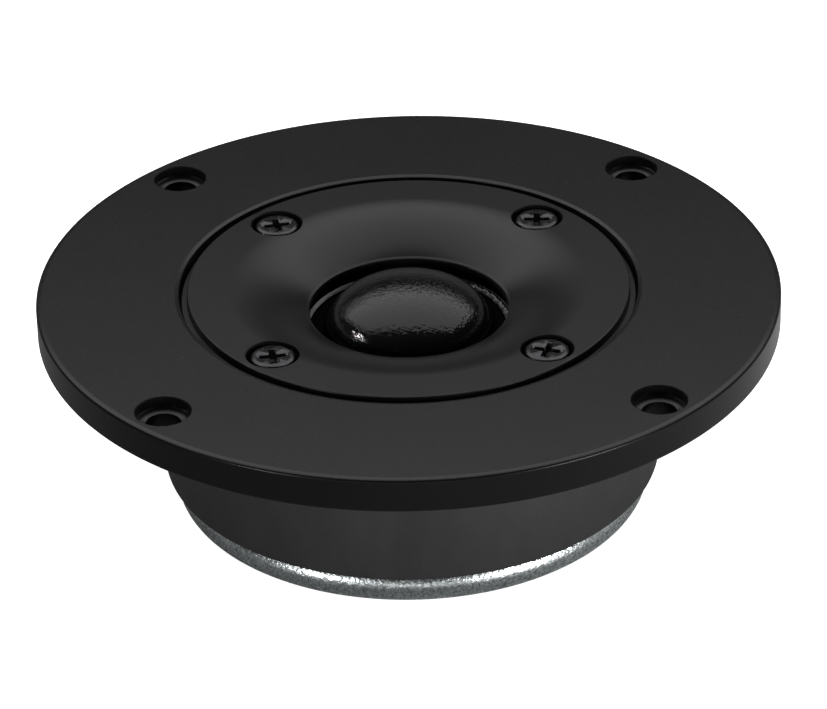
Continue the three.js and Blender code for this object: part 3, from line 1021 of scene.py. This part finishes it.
place_piece(terminal_block(), "terminal_block")
for width_name in ("wide", "narrow"):
    place_piece(terminal_tab(width_name), f"terminal_tab_{width_name}")
    place_piece(terminal_rivet(width_name), f"terminal_rivet_{width_name}")
for side in ("left", "right"):
    lead = lead_wire(side)
    blend_outwards(lead, inner=12.2, outer=15)
    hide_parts(f"lead_wire_{side}")

# ---- stage ----


def brighter_to_the_eye(tree, seen):
    """A node that gives one value in plain sight and another, "To Min", in reflections."""
    path = tree.nodes.new("ShaderNodeLightPath")
    mix = tree.nodes.new("ShaderNodeMapRange")
    mix.inputs["To Min"].default_value = 0
    mix.inputs["To Max"].default_value = seen
    tree.links.new(path.outputs["Is Camera Ray"], mix.inputs["Value"])
    return mix


def pale_floor():
    """White in plain sight; in reflections greyer, with painted shade that darkens it towards the left, as a
    dark card would.
    """
    pale = 0.9
    half_width = 3000
    paint = Paint("floor_card", (pale, pale, pale), 0.9, specular=0.1)
    corners = [(sx * half_width, sy * half_width, 0) for sx, sy in ((-1, -1), (1, -1), (1, 1), (-1, 1))]
    floor = mesh_object("floor", corners, [(0, 1, 2, 3)], paint.material)
    shade = brighter_to_the_eye(paint.tree, seen=pale)
    # painted shade: in reflections the floor runs from dark at the left to lighter at the right, which
    # shades the part's left side
    paint.link(paint.ranged(paint.distance_mm("X"), 0.2, 0.56, -70, 70), shade.inputs["To Min"])
    tint = paint.node("ShaderNodeCombineColor")
    for channel in ("Red", "Green", "Blue"):
        paint.link(shade.outputs["Result"], tint.inputs[channel])
    paint.link(tint.outputs["Color"], paint.shader.inputs["Base Color"])
    paint.shader.inputs["Emission Color"].default_value = (1, 1, 1, 1)
    glow = brighter_to_the_eye(paint.tree, seen=0.85)
    paint.link(glow.outputs["Result"], paint.shader.inputs["Emission Strength"])


def softbox(name, direction_angles, distance, width, height, power, spread=180):
    """A lamp aimed at the dome from an azimuth (0 is behind, 90 is right) and an elevation.

    Distance, width and height are in metres, power is in watts and spread is in degrees.
    """
    azimuth, elevation = (math.radians(a) for a in direction_angles)
    flat = math.cos(elevation)
    toward = Vector((math.sin(azimuth) * flat, math.cos(azimuth) * flat, math.sin(elevation)))
    light = bpy.data.lights.new(name, "AREA")
    light.shape = "RECTANGLE"
    light.size = width
    light.size_y = height
    light.energy = power
    light.spread = math.radians(spread)
    lamp = bpy.data.objects.new(name, light)
    lamp.visible_camera = False
    bpy.context.scene.collection.objects.link(lamp)
    target = Vector((0, 0, TOP * MM))
    lamp.location = target + toward * distance
    lamp.rotation_euler = (-toward).to_track_quat("-Z", "Y").to_euler()


def studio():
    world = bpy.data.worlds.new("studio")
    world.use_nodes = True
    tree = world.node_tree
    background = tree.nodes["Background"]
    background.inputs["Color"].default_value = (1, 1, 1, 1)
    glow = brighter_to_the_eye(tree, seen=1.0)
    glow.inputs["To Min"].default_value = 0.03
    tree.links.new(glow.outputs["Result"], background.inputs["Strength"])
    bpy.context.scene.world = world
    softbox("back_softbox", (1, 64.4), 1.0, 2.25, 1.15, 20.8)
    softbox("back_glow", (0, 8), 1.3, 1.8, 0.3, 0.3)
    softbox("left_sparkle", (-95, 28), 0.4, 0.045, 0.045, 0.0036, spread=4)
    softbox("right_fill", (131, 9), 1.0, 0.4, 0.3, 7.0)
    softbox("left_fill", (-138, 12), 1.0, 0.2, 0.24, 3.0)
    softbox("front_fill", (184, 4), 1.2, 1.0, 0.2, 1.0)


bpy.context.scene.view_settings.view_transform = "Standard"
add_camera()
pale_floor()
studio()
